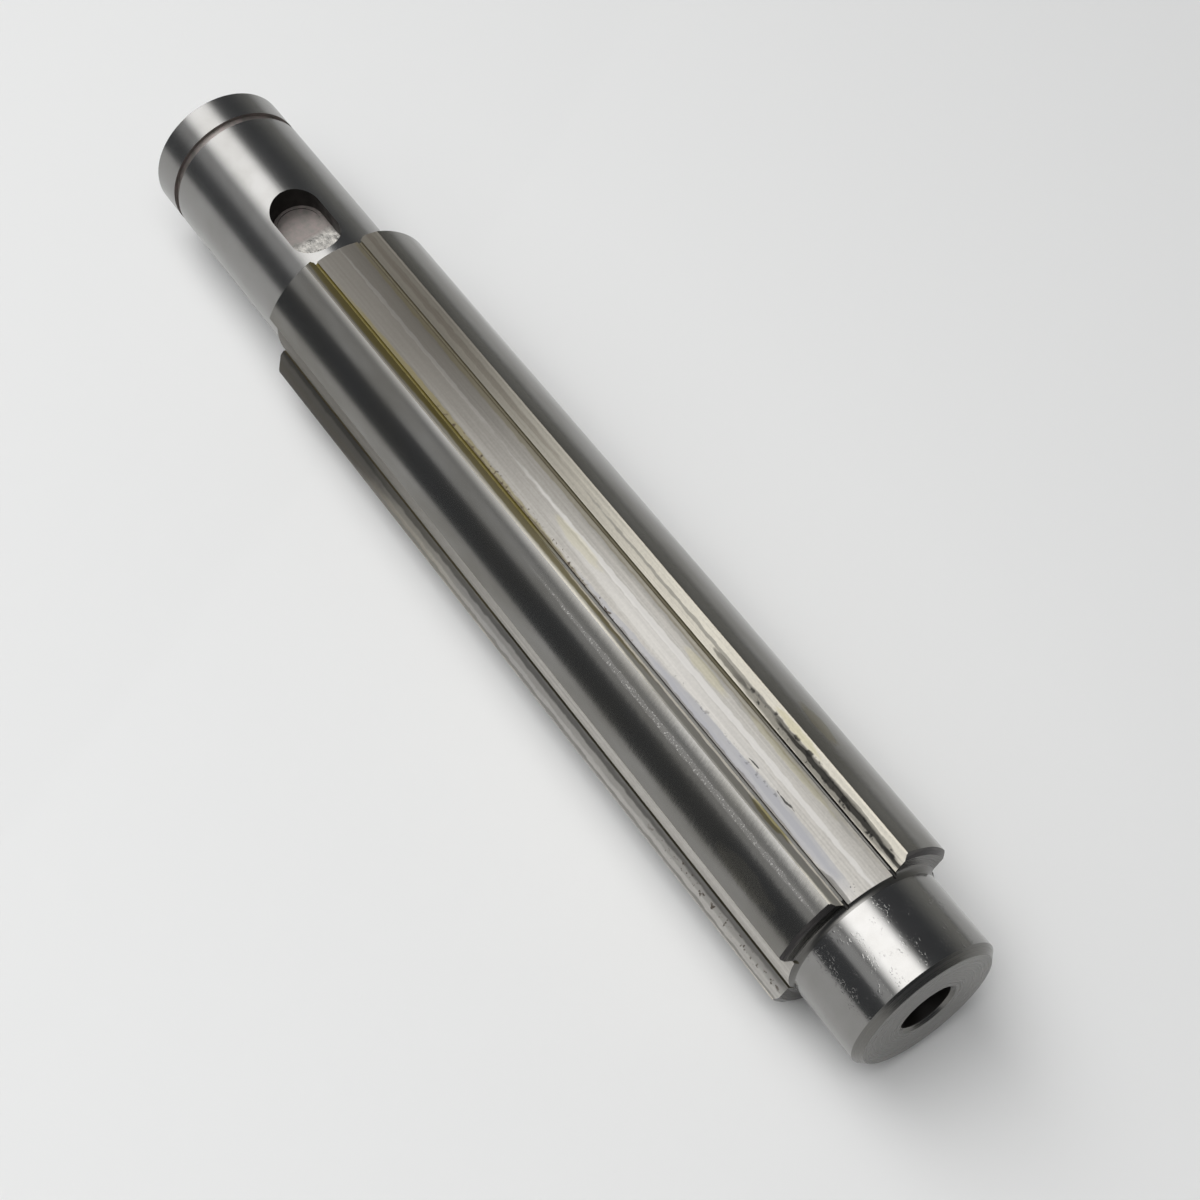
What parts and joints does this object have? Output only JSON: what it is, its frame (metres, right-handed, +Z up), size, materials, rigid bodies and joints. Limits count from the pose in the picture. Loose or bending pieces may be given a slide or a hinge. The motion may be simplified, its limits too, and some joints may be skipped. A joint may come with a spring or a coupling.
{
  "type": "splined transmission shaft",
  "caption": "Ground steel transmission shaft with straight-sided splines between plain bearing journals, a round-ended key slot, a ring groove and a drilled end face.",
  "frame": {"origin": "on the shaft's axis, halfway between its two ends", "axes": "+X along the axis towards the drilled end, +Z up through the middle of the groove that lines up with the key slot as the shaft lies at rest"},
  "size_m": [0.1362, 0.02, 0.02],
  "materials": {
    "ground_steel": "ground and turned bare steel with traces of old oil"
  },
  "bodies": {
    "root": {"shaft": "ground_steel"}
  },
  "joints": []
}
